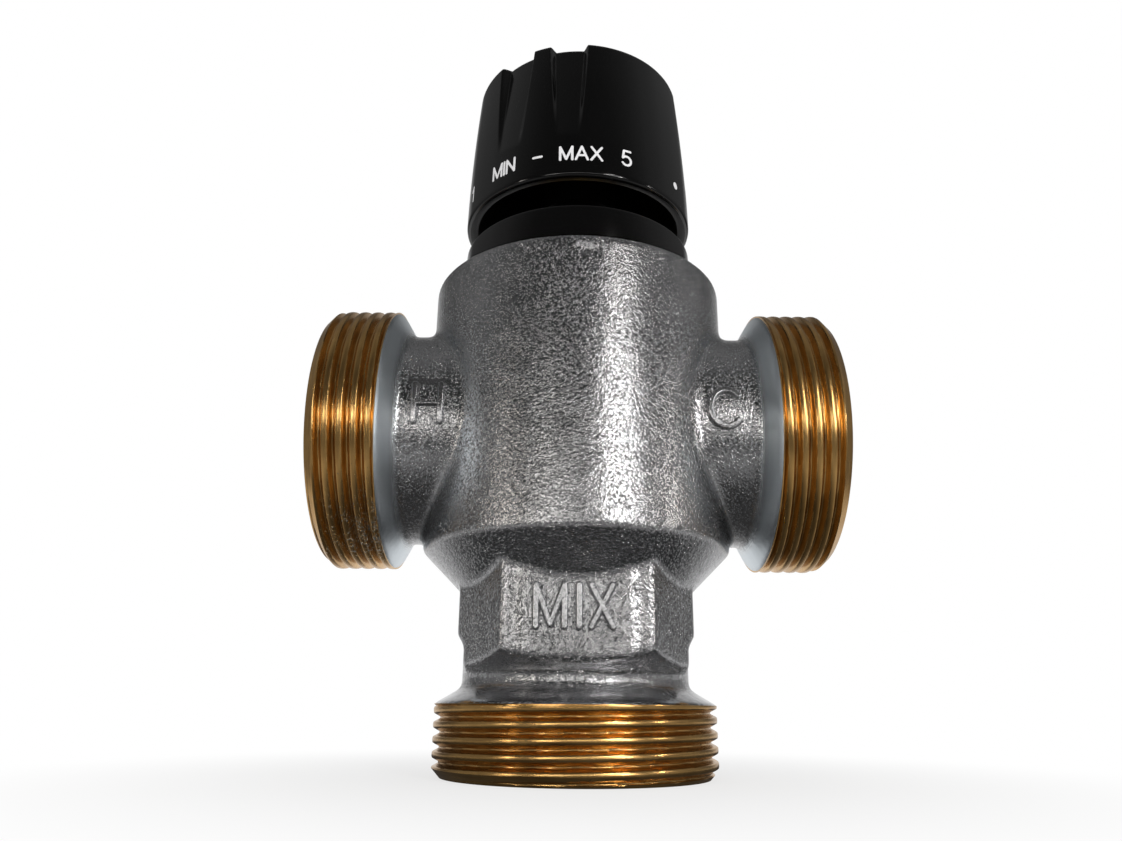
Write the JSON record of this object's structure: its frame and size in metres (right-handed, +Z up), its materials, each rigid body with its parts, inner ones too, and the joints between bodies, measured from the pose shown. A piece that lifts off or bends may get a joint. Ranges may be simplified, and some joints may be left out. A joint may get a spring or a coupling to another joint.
{
  "type": "three way thermostatic mixing valve",
  "caption": "Thermostatic mixing valve: cast body with threaded hot, cold and mixed ends, sprung shutter with wax capsule, and a fluted dial knob on a threaded spindle.",
  "frame": {"origin": "centre of the mixed outlet's end face, on the floor it stands on", "axes": "+Z up along the valve axis, +X towards the cold inlet, -X towards the hot inlet, -Y the front with the raised panel"},
  "size_m": [0.089, 0.0546, 0.1326],
  "materials": {
    "plated_casting": "dull nickel plate over a rough casting",
    "plain_brass": "machined",
    "capsule_metal": "machined copper alloy",
    "stainless": "bright",
    "spring_steel": "drawn wire",
    "seal_rubber": "smooth",
    "shutter_plastic": "moulded",
    "black_plastic": "high gloss"
  },
  "bodies": {
    "valve": {"body": "plated_casting", "lower_seat": "plain_brass", "seat_o_ring": "seal_rubber", "outlet_guide": "shutter_plastic", "return_spring": "spring_steel", "bonnet": "plain_brass", "bonnet_o_ring": "seal_rubber", "thrust_washer": "stainless", "shroud": "black_plastic"},
    "dial": {"knob": "black_plastic", "knob_cap": "black_plastic", "knob_screw": "stainless", "screw_washer": "stainless", "spindle": "plain_brass", "spindle_o_rings": "seal_rubber", "spindle_circlip": "stainless"},
    "carriage": {"carriage": "plain_brass", "cup_ring": "stainless", "overtravel_spring": "spring_steel"},
    "cup": {"spring_cup": "stainless", "capsule_pin": "stainless"},
    "shutter": {"shutter": "shutter_plastic", "shutter_o_ring": "seal_rubber", "wax_capsule": "capsule_metal", "capsule_clip": "stainless"}
  },
  "joints": [
    {"name": "dial_turn", "type": "hinge", "parent": "valve", "child": "dial", "pos_m": [0, 0, 0.1], "axis": [0, 0, 1], "range_deg": [-320, 0]},
    {"name": "carriage_slide", "type": "slide", "parent": "valve", "child": "carriage", "axis": [0, 0, 1], "range_m": [-0.00133, 0]},
    {"name": "overtravel_slide", "type": "slide", "parent": "carriage", "child": "cup", "axis": [0, 0, 1], "range_m": [0, 0.0025], "stiffness_N_per_m": 3000, "springref_m": -0.005, "deforming": ["overtravel_spring"]},
    {"name": "shutter_slide", "type": "slide", "parent": "valve", "child": "shutter", "axis": [0, 0, 1], "range_m": [-0.0014, 0.0014], "stiffness_N_per_m": 2500, "deforming": ["return_spring"]}
  ],
  "couplings": [
    {"joint": "dial_turn", "follows": "carriage_slide", "rad_per_m": 4186.6}
  ]
}
